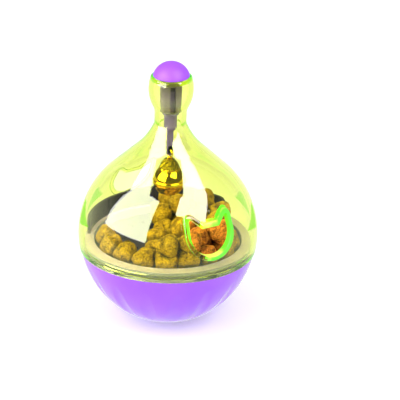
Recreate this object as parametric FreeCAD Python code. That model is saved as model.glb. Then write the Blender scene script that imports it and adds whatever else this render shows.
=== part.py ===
import FreeCAD, Part
import math
import os
import random

# Cat treat ball: a weighted bowl, a clear pear-shaped dome with two outlets,
# a ring with a gate wall between them, and a bell that hangs in the dome.
# Millimetres, +Z up, origin at the centre of the flat foot, outlets on the Y axis.

# Ball
ball_radius = 43.0
joint_below_equator = 7.7
joint_gap = 0.3

# Bowl
rim_step = 0.65
bowl_semi_height = 44.2
bowl_wall = 2.0
bowl_floor = 2.4
foot_radius = 9.8
flute_count = 16
flute_depth = 0.45
flute_length = 27.0
flute_tube_radius = 20.0
flute_drop = 19.0

# Counterweight and what holds it
weight_edge_inset = 1.6
weight_height = 7.2
weight_clearance = 0.2
boss_radius = 3.4
washer_radius = 6.0
washer_thickness = 1.0
screw_radius = 1.3
screw_length = 7.0
screw_head_radius = 2.9
screw_head_height = 2.1

# Floor tray under the treats
tray_rise = 1.5
tray_wall = 1.8
tray_flange = 1.4
tray_rib_count = 6
tray_rib_height = 3.0
tray_rib_width = 1.2

# Gate ring between bowl and dome
ring_width = 4.5
ring_rise = 5.0
ring_flange = 1.4
ring_skirt_wall = 1.4
ring_skirt_depth = 6.3
gate_height = 9.2
gate_wall = 1.5
gate_inset = 1.2
gate_span = 137.0
gate_angle = 171.2
fit_gap = 0.3

# Bayonet between ring and bowl, and the snap groove between ring and dome
bayonet_count = 4
lug_span = 16.0
lug_height = 1.4
ledge_span = 58.0
bayonet_angle = 13.7
guide_span = 49.0
guide_angle = -35.8
guide_height = 1.0
bead_height = 1.5
bead_depth = 0.9

# Dome
dome_wall = 2.4
flare_radius = 34.5
crease_angle = 21.0
neck_radius = 7.65
neck_rise = 13.6
neck_fillet = 8.7
bulb_radius = 10.7
bulb_arc = 19.0
bulb_rise = 17.2
bulb_top_rise = 6.3
cap_hole_radius = 4.6

# Cat-head outlets
outlet_half_width = 10.7
outlet_rise = 12.4
ear_tip_spread = 10.2
ear_tip_height = 18.4
ear_root_spread = 4.5
ear_root_height = 13.4
ear_tip_rounding = 0.9
ear_root_rounding = 0.7
outlet_rim_width = 2.2
outlet_rim_proud = 0.9

# Cap and hanger stem
cap_height = 6.9
cap_edge_inset = 0.8
barrel_radius = 5.2
barrel_length = 14.8
barrel_chamfer = 1.3
barrel_bore_radius = 3.3
barrel_slot_width = 2.5
barrel_slot_angle = -19.3
stem_gap = 0.1
stem_collar_radius = 3.9
stem_collar_height = 0.7
shank_length = 9.8
blade_width = 3.2
blade_length = 13.7
blade_thickness = 0.9

# Jump ring, bell and its pellet
eye_rise = 4.05
eye_hole_radius = 1.1
ring_wire = 0.35
jump_ring_radius = 2.33
link_gap = 0.15
loop_wire = 0.3
loop_radius = 1.0
bell_radius = 7.7
bell_sheet = 0.5
bell_neck_radius = 2.1
bell_neck_rise = 3.1
bell_drop = 0.3
crimp_height = 2.0
crimp_thickness = 0.45
bell_slot_width = 1.3
bell_slot_angle = 48.0
bell_slot_end_radius = 1.04
pellet_radius = 1.9

# Treats
treat_size = 10.2
treat_thickness = 7.5
treat_face_share = 0.62
treat_belly_share = 0.985
treat_corner_angle = 24.0
treat_corner_chance = 6.0
treat_trials = 500
settle_steps = 6
treat_seed = 5
row_start = -111.0
row_step = 20.0
row_count = 8
heap_low = 12.6
heap_high = 22.5
heap_side = -30.3

# Heights worked out from the sizes above
bowl_radius = ball_radius - rim_step
equator = bowl_semi_height * math.sqrt(1 - (foot_radius / bowl_radius) ** 2)
joint = equator - joint_below_equator
dome_lip = joint + joint_gap / 2
bowl_rim = joint - joint_gap / 2
ring_top = joint + ring_rise
ring_underside = ring_top - ring_flange
crease = equator + ball_radius + neck_rise
bulb_equator = crease + bulb_rise
dome_top = bulb_equator + bulb_top_rise

Z_AXIS = FreeCAD.Vector(0, 0, 1)
ORIGIN = FreeCAD.Vector(0, 0, 0)


def point(radius, height):
    """A point of an outline in the half-plane that is turned about Z."""
    return FreeCAD.Vector(radius, 0, height)


def place(radius, angle, height):
    """A point at an angle from the front (-Y), positive towards +X."""
    turn = math.radians(angle)
    return FreeCAD.Vector(radius * math.sin(turn), -radius * math.cos(turn), height)


def line(start, end):
    return Part.makeLine(start, end)


def arc(centre, start, end):
    """The shorter arc about centre from start to end."""
    outward = (start - centre) + (end - centre)
    middle = centre + outward.normalize() * (start - centre).Length
    return Part.Arc(start, middle, end).toShape()


def turned(edges):
    """Turn a closed outline in the XZ half-plane once round Z."""
    face = Part.Face(Part.Wire(edges))
    return face.revolve(ORIGIN, Z_AXIS, 360)


def polygon_turned(corners):
    edges = [line(a, b) for a, b in zip(corners, corners[1:] + corners[:1])]
    return turned(edges)


def ring_sector(inner, outer, bottom, top, angle, span):
    """Part of a flat ring, centred on an angle from the front."""
    corners = [point(inner, bottom), point(outer, bottom), point(outer, top), point(inner, top)]
    edges = [line(a, b) for a, b in zip(corners, corners[1:] + corners[:1])]
    face = Part.Face(Part.Wire(edges))
    face.rotate(ORIGIN, Z_AXIS, angle - 90 - span / 2)
    return face.revolve(ORIGIN, Z_AXIS, span)


def copies_round(shape, count):
    """Equally spaced copies about Z."""
    found = []
    for index in range(count):
        copy = shape.copy()
        copy.rotate(ORIGIN, Z_AXIS, 360.0 * index / count)
        found.append(copy)
    return found


def box_about(centre, size_x, size_y, size_z):
    corner = centre - FreeCAD.Vector(size_x / 2, size_y / 2, size_z / 2)
    return Part.makeBox(size_x, size_y, size_z, corner)


# Bowl shape
def bowl_radius_at(height, inset):
    """Radius of the bowl's ellipse at a height, moved inwards by inset."""
    share = (height - equator) / (bowl_semi_height - inset)
    return (bowl_radius - inset) * math.sqrt(1 - share ** 2)


def bowl_height_at(radius, inset):
    """Height of the bowl's lower half at a radius, moved inwards by inset."""
    share = radius / (bowl_radius - inset)
    return equator - (bowl_semi_height - inset) * math.sqrt(1 - share ** 2)


def bowl_edge(inset, low, high):
    """The ellipse's stretch between two heights, its longer axis named first."""
    tip = point(0, equator - bowl_semi_height + inset)
    side = point(bowl_radius - inset, equator)
    axes = (tip, side) if bowl_semi_height > bowl_radius else (side, tip)
    ellipse = Part.Ellipse(axes[0], axes[1], point(0, equator))
    ends = []
    for height in (low, high):
        ends.append(ellipse.parameter(point(bowl_radius_at(height, inset), height)))
    return Part.ArcOfEllipse(ellipse, min(ends), max(ends)).toShape()


def dome_inner_radius_at(height):
    return math.sqrt((ball_radius - dome_wall) ** 2 - (height - equator) ** 2)


# Sizes shared by pieces that meet
ring_outer = dome_inner_radius_at(ring_underside) - fit_gap
ring_inner_radius = ring_outer - ring_width
skirt_outer = ring_inner_radius + ring_skirt_wall
skirt_bottom = joint - ring_skirt_depth
guide_bottom = joint + fit_gap / 3
guide_outer = dome_inner_radius_at(guide_bottom) - fit_gap
bead_top = ring_underside - fit_gap
bead_bottom = bead_top - bead_height
bead_inner = ring_outer - bead_depth
gate_outer = ring_outer - gate_inset
gate_inner = gate_outer - gate_wall
tray_top = joint + tray_rise
tray_radius = ring_inner_radius - fit_gap
tray_flange_top = skirt_bottom - fit_gap
tray_flange_bottom = tray_flange_top - tray_flange
lug_top = joint - 2 * lug_height - fit_gap
lug_outer = bowl_radius_at(lug_top - lug_height, bowl_wall) - fit_gap
ledge_inner = skirt_outer + fit_gap
ledge_bottom = lug_top + fit_gap
weight_top = bowl_floor + weight_clearance + weight_height
boss_top = weight_top - fit_gap


def base_bowl():
    """Purple moulded bowl with a flat foot, shallow flutes and bayonet ledges."""
    inner_floor_radius = bowl_radius_at(bowl_floor, bowl_wall)
    ledge = point(tray_radius, tray_flange_bottom)
    below = point(bowl_radius_at(tray_flange_bottom - 2 * bowl_wall, bowl_wall),
                  tray_flange_bottom - 2 * bowl_wall)
    inner_rim = bowl_radius_at(bowl_rim, bowl_wall)
    at_ledge = bowl_radius_at(tray_flange_bottom, bowl_wall)
    edges = [
        line(point(0, 0), point(foot_radius, 0)),
        bowl_edge(0, 0, bowl_rim),
        line(point(bowl_radius_at(bowl_rim, 0), bowl_rim), point(inner_rim, bowl_rim)),
        bowl_edge(bowl_wall, tray_flange_bottom, bowl_rim),
        line(point(at_ledge, tray_flange_bottom), ledge),
        line(ledge, below),
        bowl_edge(bowl_wall, bowl_floor, below.z),
        line(point(inner_floor_radius, bowl_floor), point(boss_radius, bowl_floor)),
        line(point(boss_radius, bowl_floor), point(boss_radius, boss_top)),
        line(point(boss_radius, boss_top), point(0, boss_top)),
        line(point(0, boss_top), point(0, 0)),
    ]
    bowl = turned(edges).cut(flute_cutters())
    ledge_reach = bowl_radius_at(joint - bowl_wall, bowl_wall / 2)
    gap_angle = bayonet_angle + 180.0 / bayonet_count
    ledge_top = ledge_bottom + lug_height
    ledge = ring_sector(ledge_inner, ledge_reach, ledge_bottom, ledge_top, gap_angle, ledge_span)
    bowl = bowl.fuse(copies_round(ledge, bayonet_count))
    pilot = Part.makeCylinder(screw_radius, screw_length + fit_gap, point(0, boss_top), -Z_AXIS)
    return bowl.cut(pilot).removeSplitter()


def flute_cutters():
    """Fat curved tubes that each graze the bowl and leave a leaf-shaped hollow."""
    height = joint - flute_drop
    radius = bowl_radius_at(height, 0)
    normal = FreeCAD.Vector(radius / bowl_radius ** 2, 0, (height - equator) / bowl_semi_height ** 2)
    normal = normal.normalize()
    bowl_curve = 1.0 / (bowl_radius + bowl_semi_height) * 2
    sweep_curve = bowl_curve - 8 * flute_depth / flute_length ** 2
    sweep_radius = 1.0 / sweep_curve
    centre = point(radius, height) - normal * (sweep_radius + flute_depth)
    tube = Part.makeTorus(sweep_radius + flute_tube_radius, flute_tube_radius, centre,
                          FreeCAD.Vector(0, 1, 0))
    width = 2 * math.sqrt(2 * flute_depth * flute_tube_radius)
    keep = box_about(point(radius, height), flute_length, width, flute_length)
    return copies_round(tube.common(keep), flute_count)


def counterweight():
    """Cast weight whose underside follows the bowl, with a hole for the boss."""
    inset = bowl_wall + weight_clearance
    bottom = bowl_floor + weight_clearance
    side = bowl_radius_at(weight_top, inset) - weight_edge_inset
    low_radius = bowl_radius_at(bottom, inset)
    side_low = bowl_height_at(side, inset)
    hole = boss_radius + fit_gap
    edges = [
        line(point(hole, bottom), point(low_radius, bottom)),
        bowl_edge(inset, bottom, side_low),
        line(point(side, side_low), point(side, weight_top)),
        line(point(side, weight_top), point(hole, weight_top)),
        line(point(hole, weight_top), point(hole, bottom)),
    ]
    return turned(edges)


def weight_washer():
    outer = Part.makeCylinder(washer_radius, washer_thickness, point(0, weight_top))
    hole = Part.makeCylinder(screw_radius + fit_gap, washer_thickness, point(0, weight_top))
    return outer.cut(hole)


def weight_screw():
    """Pan-head screw through the washer into the boss."""
    seat = weight_top + washer_thickness
    head = Part.makeCylinder(screw_head_radius, screw_head_height, point(0, seat))
    head = head.makeFillet(screw_head_height / 3, [head.Edges[0]])
    drive = box_about(point(0, seat + screw_head_height), screw_head_radius, screw_radius / 2,
                      screw_head_height)
    cross = drive.copy()
    cross.rotate(ORIGIN, Z_AXIS, 90)
    shank_radius = screw_radius - stem_gap / 2
    length = screw_length + washer_thickness
    shank = Part.makeCylinder(shank_radius, length, point(0, seat - length))
    return head.cut([drive, cross]).fuse(shank).removeSplitter()


def floor_tray():
    """Purple floor of the treat chamber: a raised plate with a skirt and a flange."""
    inner = tray_radius - tray_wall
    flange_outer = bowl_radius_at(tray_flange_bottom, bowl_wall) - fit_gap
    tray = polygon_turned([
        point(0, tray_top - tray_wall),
        point(inner, tray_top - tray_wall),
        point(inner, tray_flange_bottom),
        point(flange_outer, tray_flange_bottom),
        point(flange_outer, tray_flange_top),
        point(tray_radius, tray_flange_top),
        point(tray_radius, tray_top),
        point(0, tray_top),
    ])
    rib_top = tray_top - tray_wall
    rib = box_about(point(inner / 2, rib_top - tray_rib_height / 2), inner, tray_rib_width,
                    tray_rib_height)
    return tray.fuse(copies_round(rib, tray_rib_count)).removeSplitter()


def gate_ring():
    """Purple ring with a flange under the treats' edge and a wall that covers one outlet."""
    ring = polygon_turned([
        point(ring_inner_radius, skirt_bottom),
        point(skirt_outer, skirt_bottom),
        point(skirt_outer, ring_underside),
        point(ring_outer, ring_underside),
        point(ring_outer, ring_top),
        point(ring_inner_radius, ring_top),
    ])
    wall = ring_sector(gate_inner, gate_outer, ring_underside, ring_top + gate_height,
                       gate_angle, gate_span)
    upright = [edge for edge in wall.Edges if is_radial_top(edge)]
    wall = wall.makeFillet(gate_height / 3, upright)
    lug = ring_sector(skirt_outer - ring_skirt_wall / 2, lug_outer, lug_top - lug_height, lug_top,
                      bayonet_angle, lug_span)
    reach_in = skirt_outer - ring_skirt_wall / 2
    guide_top = guide_bottom + guide_height
    guide = ring_sector(reach_in, guide_outer, guide_bottom, guide_top, guide_angle, guide_span)
    stop = ring_sector(reach_in, guide_outer, guide_bottom, guide_top, bayonet_angle, lug_span)
    added = [wall]
    for piece in (lug, guide, stop):
        added.extend(copies_round(piece, bayonet_count))
    return ring.fuse(added).removeSplitter()


def is_radial_top(edge):
    """True for the gate wall's two short top edges that run across its thickness."""
    start = edge.Vertexes[0].Point
    end = edge.Vertexes[-1].Point
    high = min(start.z, end.z) > ring_top + gate_height / 2
    across = math.hypot(start.x - end.x, start.y - end.y)
    return high and abs(across - gate_wall) < gate_wall / 20


# Dome outline: ball, straight cone, flare, crease, neck, bulb
def cone_angle():
    """Angle at which one straight line touches both the ball and the flare."""
    turn = math.radians(crease_angle)
    across = neck_radius + flare_radius * math.cos(turn)
    up = crease + flare_radius * math.sin(turn) - equator
    distance = math.hypot(across, up)
    return math.atan2(up, across) - math.acos((ball_radius + flare_radius) / distance)


def flare_centre():
    turn = math.radians(crease_angle)
    return point(neck_radius + flare_radius * math.cos(turn),
                 crease + flare_radius * math.sin(turn))


def dome_side(inset, low):
    """Outline from a height on the ball up to the bulb's equator, moved inwards by inset."""
    slope = cone_angle()
    away = point(math.cos(slope), math.sin(slope))
    ball = point(0, equator)
    flare = flare_centre()
    bulb = point(bulb_radius - bulb_arc, bulb_equator)
    radius = ball_radius - inset
    start = point(math.sqrt(radius ** 2 - (low - equator) ** 2), low)
    cone_low = ball + away * radius
    cone_high = flare - away * (flare_radius + inset)
    neck = neck_radius - inset
    rise = math.sqrt((flare_radius + inset) ** 2 - (flare.x - neck) ** 2)
    neck_low = point(neck, flare.z - rise)
    fillet_across = neck_radius + neck_fillet - bulb.x
    fillet_drop = math.sqrt((bulb_arc + neck_fillet) ** 2 - fillet_across ** 2)
    fillet = point(neck_radius + neck_fillet, bulb_equator - fillet_drop)
    neck_high = point(neck, fillet.z)
    towards = (fillet - bulb).normalize()
    bulb_low = bulb + towards * (bulb_arc - inset)
    edges = [
        arc(ball, start, cone_low),
        line(cone_low, cone_high),
        arc(flare, cone_high, neck_low),
        line(neck_low, neck_high),
        arc(fillet, neck_high, bulb_low),
    ]
    return edges, start, bulb_low


def bulb_radius_at(height, inset):
    reach = math.sqrt((bulb_arc - inset) ** 2 - (height - bulb_equator) ** 2)
    return bulb_radius - bulb_arc + reach


def dome_shell(outer_inset):
    """Shell of the dome, with its snap bead, as one turned outline."""
    bulb = point(bulb_radius - bulb_arc, bulb_equator)
    outside, lip_outer, outside_bulb = dome_side(outer_inset, dome_lip)
    inside, bead_corner, inside_bulb = dome_side(dome_wall, bead_top)
    top_outer = point(bulb_radius_at(dome_top, outer_inset), dome_top)
    ceiling = dome_top - dome_wall
    ceiling_outer = point(bulb_radius_at(ceiling, dome_wall), ceiling)
    bead_low = bead_bottom - bead_depth / 2
    chain = [
        bead_corner,
        point(bead_inner, bead_top),
        point(bead_inner, bead_bottom),
        point(dome_inner_radius_at(bead_low), bead_low),
        point(dome_inner_radius_at(dome_lip), dome_lip),
        lip_outer,
    ]
    edges = outside + [
        arc(bulb, outside_bulb, top_outer),
        line(top_outer, point(cap_hole_radius, dome_top)),
        line(point(cap_hole_radius, dome_top), point(cap_hole_radius, ceiling)),
        line(point(cap_hole_radius, ceiling), ceiling_outer),
        arc(bulb, ceiling_outer, inside_bulb),
    ]
    edges += inside
    edges += [line(a, b) for a, b in zip(chain, chain[1:])]
    return turned(Part.__sortEdges__(edges))


def rounded_path(corners):
    """Lines through the corners, each inner corner rounded by its own radius."""
    edges = []
    previous = corners[0][0]
    for index in range(1, len(corners) - 1):
        corner, radius = corners[index]
        back = (corners[index - 1][0] - corner).normalize()
        onward = (corners[index + 1][0] - corner).normalize()
        half = back.getAngle(onward) / 2
        cut = radius / math.tan(half)
        start = corner + back * cut
        end = corner + onward * cut
        middle_way = (back + onward).normalize()
        middle = corner + middle_way * (radius / math.sin(half) - radius)
        edges.append(line(previous, start))
        edges.append(Part.Arc(start, middle, end).toShape())
        previous = end
    edges.append(line(previous, corners[-1][0]))
    return edges


def outlet_outline():
    """Cat head in the XZ plane: a round chin, upright cheeks and two pointed ears."""
    bottom = joint + outlet_rise
    cheek = bottom + outlet_half_width
    tip = bottom + ear_tip_height
    root = bottom + ear_root_height
    corners = [
        (point(outlet_half_width, cheek), 0),
        (point(ear_tip_spread, tip), ear_tip_rounding),
        (point(ear_root_spread, root), ear_root_rounding),
        (point(-ear_root_spread, root), ear_root_rounding),
        (point(-ear_tip_spread, tip), ear_tip_rounding),
        (point(-outlet_half_width, cheek), 0),
    ]
    chin = Part.Arc(corners[-1][0], point(0, bottom), corners[0][0]).toShape()
    return Part.Wire(Part.__sortEdges__(rounded_path(corners) + [chin]))


def dome():
    """Clear yellow-green dome with a raised rim round each outlet."""
    outline = outlet_outline()
    reach = FreeCAD.Vector(0, -ball_radius - dome_wall, 0)
    hole = Part.Face(outline).extrude(reach)
    rim = Part.Face(outline.makeOffset2D(outlet_rim_width)).extrude(reach)
    raised = dome_shell(-outlet_rim_proud).common(rim)
    shell = dome_shell(0)
    shell = shell.fuse(copies_round(raised, 2))
    return shell.cut(copies_round(hole, 2)).removeSplitter()


# Cap and stem
barrel_top = dome_top - dome_wall - fit_gap
barrel_bottom = barrel_top - barrel_length
stem_collar_top = barrel_bottom - stem_gap
shank_bottom = stem_collar_top - shank_length
blade_bottom = shank_bottom - blade_length
eye_height = blade_bottom + eye_rise


def top_cap():
    """Purple cap whose slotted barrel snaps through the hole in the dome's top."""
    edge_radius = bulb_radius_at(dome_top, 0) - cap_edge_inset
    crown = (edge_radius ** 2 + cap_height ** 2) / (2 * cap_height)
    crown_centre = point(0, dome_top + cap_height - crown)
    shoulder = barrel_radius - cap_hole_radius + barrel_chamfer
    neck = cap_hole_radius - fit_gap / 2
    edges = [
        arc(crown_centre, point(edge_radius, dome_top), point(0, dome_top + cap_height)),
        line(point(0, dome_top + cap_height), point(0, barrel_top - shoulder)),
        line(point(0, barrel_top - shoulder), point(barrel_bore_radius, barrel_top - shoulder)),
        line(point(barrel_bore_radius, barrel_top - shoulder),
             point(barrel_bore_radius, barrel_bottom)),
        line(point(barrel_bore_radius, barrel_bottom),
             point(barrel_radius - barrel_chamfer, barrel_bottom)),
        line(point(barrel_radius - barrel_chamfer, barrel_bottom),
             point(barrel_radius, barrel_bottom + barrel_chamfer)),
        line(point(barrel_radius, barrel_bottom + barrel_chamfer),
             point(barrel_radius, barrel_top - barrel_chamfer)),
        arc(point(barrel_radius - barrel_chamfer, barrel_top - barrel_chamfer),
            point(barrel_radius, barrel_top - barrel_chamfer),
            point(barrel_radius - barrel_chamfer, barrel_top)),
        line(point(barrel_radius - barrel_chamfer, barrel_top), point(neck, dome_top)),
        line(point(neck, dome_top), point(edge_radius, dome_top)),
    ]
    cap = turned(Part.__sortEdges__(edges))
    slot_bottom = barrel_bottom + barrel_chamfer
    slot_top = barrel_top - barrel_chamfer
    middle = point(0, (slot_bottom + slot_top) / 2)
    slot = box_about(middle, barrel_slot_width, 4 * barrel_radius, slot_top - slot_bottom)
    slot = slot.cut(Part.makeCylinder(barrel_bore_radius, slot_top, ORIGIN))
    slot.rotate(ORIGIN, Z_AXIS, barrel_slot_angle)
    return cap.cut(slot)


def hanger_stem():
    """Stem plugged into the barrel; its flat blade has an eye near its rounded end."""
    spigot_radius = barrel_bore_radius - stem_gap
    spigot_top = barrel_top - barrel_length / 4
    shank_radius = spigot_radius - stem_gap
    taper = blade_width / 2
    stem = polygon_turned([
        point(0, shank_bottom),
        point(shank_radius - taper / 2, shank_bottom),
        point(shank_radius, shank_bottom + taper / 2),
        point(shank_radius, stem_collar_top - stem_collar_height),
        point(stem_collar_radius, stem_collar_top - stem_collar_height),
        point(stem_collar_radius, stem_collar_top),
        point(spigot_radius, stem_collar_top),
        point(spigot_radius, spigot_top - stem_collar_height),
        point(spigot_radius - stem_collar_height, spigot_top),
        point(0, spigot_top),
    ])
    blade_low = blade_bottom + blade_width / 2
    blade = box_about(point(0, (shank_bottom + blade_low) / 2), blade_width, blade_thickness,
                      shank_bottom - blade_low)
    side = FreeCAD.Vector(0, blade_thickness, 0)
    end_face = FreeCAD.Vector(0, -blade_thickness / 2, blade_low)
    end = Part.makeCylinder(blade_width / 2, blade_thickness, end_face, side)
    eye_face = FreeCAD.Vector(0, -blade_thickness / 2, eye_height)
    eye = Part.makeCylinder(eye_hole_radius, blade_thickness, eye_face, side)
    return stem.fuse([blade, end]).cut(eye).removeSplitter()


# Bell chain: each link hangs in the one above
ring_height = eye_height - (eye_hole_radius - ring_wire - link_gap) - jump_ring_radius
loop_height = ring_height - (jump_ring_radius - ring_wire - loop_wire - link_gap)
loop_centre = loop_height - loop_radius
bell_top = loop_centre - bell_drop
bell_centre = bell_top - bell_neck_rise - bell_radius


def jump_ring():
    return Part.makeTorus(jump_ring_radius, ring_wire, point(0, ring_height),
                          FreeCAD.Vector(1, 0, 0))


def bell_shell_edge(radius, start_height, end_height):
    """Arc of the bell's round wall between two heights."""
    centre = point(0, bell_centre)
    start = point(math.sqrt(max(radius ** 2 - (start_height - bell_centre) ** 2, 0)), start_height)
    end = point(math.sqrt(max(radius ** 2 - (end_height - bell_centre) ** 2, 0)), end_height)
    return arc(centre, start, end), start, end


def bell_upper():
    """Upper half of the bell, drawn up like a drop to a small neck for the loop."""
    inner = bell_radius - bell_sheet
    rise = bell_top - bell_centre
    lean = math.atan2(bell_neck_radius, rise)
    lean += math.acos(bell_radius / math.hypot(bell_neck_radius, rise))
    roof, low, root = bell_shell_edge(bell_radius, bell_centre,
                                      bell_centre + bell_radius * math.cos(lean))
    ceiling, inner_low, inner_root = bell_shell_edge(inner, bell_centre,
                                                     bell_centre + inner * math.cos(lean))
    neck = point(bell_neck_radius, bell_top)
    along = (neck - root).normalize()
    under = inner_root + along * ((bell_top - bell_sheet - inner_root.z) / along.z)
    edges = [
        roof,
        line(root, neck),
        line(neck, point(0, bell_top)),
        line(point(0, bell_top), point(0, under.z)),
        line(point(0, under.z), under),
        line(under, inner_root),
        ceiling,
        line(inner_low, low),
    ]
    return turned(Part.__sortEdges__(edges))


def bell_loop():
    """Wire staple brazed into the bell's neck."""
    wire_up = Part.makeTorus(loop_radius, loop_wire, point(0, loop_centre),
                             FreeCAD.Vector(0, 1, 0))
    upper = box_about(point(0, loop_centre + loop_radius), 4 * loop_radius, 4 * loop_radius,
                      2 * loop_radius)
    bend = wire_up.common(upper)
    legs = []
    for side in (-loop_radius, loop_radius):
        length = loop_centre - bell_top
        legs.append(Part.makeCylinder(loop_wire, length, point(side, bell_top)))
    return bend.fuse(legs).removeSplitter()


def bell_lower():
    """Lower half with a rolled seam over the upper half and a crossed slot."""
    inner = bell_radius - bell_sheet
    wall, low, _ = bell_shell_edge(bell_radius, bell_centre, bell_centre - bell_radius)
    lining, inner_low, _ = bell_shell_edge(inner, bell_centre, bell_centre - inner)
    crimp = bell_radius + crimp_thickness
    seam_top = bell_centre + crimp_height / 2
    seam_low = bell_centre - crimp_height / 2
    edges = [wall, lining, line(point(0, bell_centre - bell_radius), point(0, bell_centre - inner)),
             line(inner_low, low)]
    cup = turned(Part.__sortEdges__(edges))
    seam = polygon_turned([
        point(inner + bell_sheet / 2, seam_low),
        point(bell_radius + crimp_thickness / 2, seam_low),
        point(crimp, bell_centre - crimp_height / 4),
        point(crimp, bell_centre + crimp_height / 4),
        point(bell_radius + crimp_thickness / 2, seam_top),
        point(bell_radius, seam_top),
        point(bell_radius, bell_centre),
        point(inner + bell_sheet / 2, bell_centre),
    ])
    reach = bell_radius * math.sin(math.radians(bell_slot_angle))
    depth = 2 * bell_radius
    slot = box_about(point(0, bell_centre - bell_radius), 2 * reach, bell_slot_width, depth)
    ends = []
    for side in (-reach, reach):
        ends.append(Part.makeCylinder(bell_slot_end_radius, bell_radius,
                                      point(side, bell_centre - bell_radius)))
    cutter = slot.fuse(ends)
    crossed = cutter.copy()
    crossed.rotate(ORIGIN, Z_AXIS, 90)
    return cup.fuse(seam).cut([cutter, crossed]).removeSplitter()


def bell_pellet():
    """Loose steel pellet that rests on the bottom of the bell."""
    height = bell_centre - (bell_radius - bell_sheet - pellet_radius - stem_gap)
    return Part.makeSphere(pellet_radius, point(0, height))


# Treats
def treat_shape(chance):
    """One pressed treat: a rounded triangle, thick in the middle, with fourteen flat faces."""
    reach = treat_size / 2
    outline = []
    for corner in range(3):
        for side in (-1, 1):
            half_side = treat_corner_angle + treat_corner_chance * chance.random()
            turn = math.radians(120 * corner + side * half_side)
            outline.append((math.cos(turn), math.sin(turn)))
    rows = []
    for level, share in ((-1, treat_face_share), (0, treat_belly_share), (1, treat_face_share)):
        row = []
        for across, along in outline:
            height = level * treat_thickness / 2
            row.append(FreeCAD.Vector(across * share * reach, along * share * reach, height))
        rows.append(row)
    faces = [Part.Face(Part.makePolygon(row + row[:1])) for row in (rows[0], rows[2])]
    for low, high in ((rows[0], rows[1]), (rows[1], rows[2])):
        for index in range(len(low)):
            after = (index + 1) % len(low)
            ring = [low[index], low[after], high[after], high[index], low[index]]
            faces.append(Part.Face(Part.makePolygon(ring)))
    return Part.Solid(Part.Shell(faces))


def heap_limit(across):
    """Top of the heap: low at its left edge, two layers at the right, bare beyond the edge."""
    if across < -treat_size / 2:
        return 0
    share = (across + treat_size) / treat_size
    return heap_low + (heap_high - heap_low) * min(share, 1)


def heap_places(chance):
    """A row along the front, then balls of the treats' size dropped to the lowest free place."""
    radius = treat_size / 2
    floor = tray_top + radius + stem_gap
    reach = tray_radius - radius
    turn = math.radians(heap_side)
    across_way = FreeCAD.Vector(math.cos(turn), math.sin(turn), 0)
    settled = [place(reach, row_start + row_step * index, floor) for index in range(row_count)]
    while True:
        best = None
        for _ in range(treat_trials):
            distance = reach * math.sqrt(chance.random())
            spot = place(distance, 360 * chance.random(), floor)
            for other in settled:
                apart = math.hypot(spot.x - other.x, spot.y - other.y)
                if apart < treat_size:
                    spot.z = max(spot.z, other.z + math.sqrt(treat_size ** 2 - apart ** 2))
            limit = heap_limit(spot.dot(across_way))
            if spot.z + radius > joint + limit:
                continue
            if best is None or spot.z < best.z:
                best = spot
        if best is None:
            return settled
        settled.append(best)


def settle(treat, spot, settled):
    """Lower a treat until it nearly touches the tray or a treat under it."""
    under = []
    for other, other_spot in settled:
        if math.hypot(spot.x - other_spot.x, spot.y - other_spot.y) < treat_size:
            under.append(other)
    for _ in range(settle_steps):
        gap = treat.BoundBox.ZMin - tray_top
        for other in under:
            gap = min(gap, treat.distToShape(other)[0])
        if gap < 2 * stem_gap:
            return
        treat.translate(-Z_AXIS * (gap - stem_gap))


def treats():
    """Pressed treats heaped on the tray, kept inside the ring and clear of the bell."""
    chance = random.Random(treat_seed)
    settled = []
    for spot in heap_places(chance):
        treat = treat_shape(chance)
        axis = place(1, 360 * chance.random(), 0)
        treat.rotate(ORIGIN, axis, 360 * chance.random())
        treat.rotate(ORIGIN, Z_AXIS, 360 * chance.random())
        treat.translate(spot)
        settle(treat, spot, settled)
        settled.append((treat, spot))
    return Part.makeCompound([treat for treat, spot in settled])


os.makedirs("parts", exist_ok=True)

PIECES = {
    "base_bowl": base_bowl,
    "counterweight": counterweight,
    "weight_washer": weight_washer,
    "weight_screw": weight_screw,
    "floor_tray": floor_tray,
    "treats": treats,
    "gate_ring": gate_ring,
    "dome": dome,
    "top_cap": top_cap,
    "hanger_stem": hanger_stem,
    "jump_ring": jump_ring,
    "bell_loop": bell_loop,
    "bell_upper": bell_upper,
    "bell_lower": bell_lower,
    "bell_pellet": bell_pellet,
}

for name, make in PIECES.items():
    shape = make()
    shape.exportStep("parts/" + name + ".step")
    print(name, "solids", len(shape.Solids), "volume", round(shape.Volume, 1), "valid", shape.isValid())

print("joint", round(joint, 3), "equator", round(equator, 3), "top", round(dome_top + cap_height, 3))
print("eye", round(eye_height, 3), "ring", round(ring_height, 3), "bell", round(bell_centre, 3))
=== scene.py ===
import math

import bmesh
import bpy
from mathutils import Matrix, Quaternion, Vector


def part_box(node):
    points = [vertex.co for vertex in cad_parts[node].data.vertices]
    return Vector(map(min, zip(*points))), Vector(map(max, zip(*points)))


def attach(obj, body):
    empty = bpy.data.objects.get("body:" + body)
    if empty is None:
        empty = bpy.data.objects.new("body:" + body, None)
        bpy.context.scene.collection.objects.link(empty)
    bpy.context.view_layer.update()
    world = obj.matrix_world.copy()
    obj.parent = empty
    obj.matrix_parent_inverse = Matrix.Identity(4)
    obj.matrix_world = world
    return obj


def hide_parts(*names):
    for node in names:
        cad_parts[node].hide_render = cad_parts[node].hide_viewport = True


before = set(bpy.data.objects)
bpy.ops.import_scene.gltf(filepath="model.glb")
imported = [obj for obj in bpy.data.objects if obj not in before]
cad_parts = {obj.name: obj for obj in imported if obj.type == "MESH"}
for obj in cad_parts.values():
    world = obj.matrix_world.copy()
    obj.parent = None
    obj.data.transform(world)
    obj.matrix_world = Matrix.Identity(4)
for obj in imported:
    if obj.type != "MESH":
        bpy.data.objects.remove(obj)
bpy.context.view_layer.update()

scene = bpy.context.scene
scene.view_settings.view_transform = "Standard"

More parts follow.
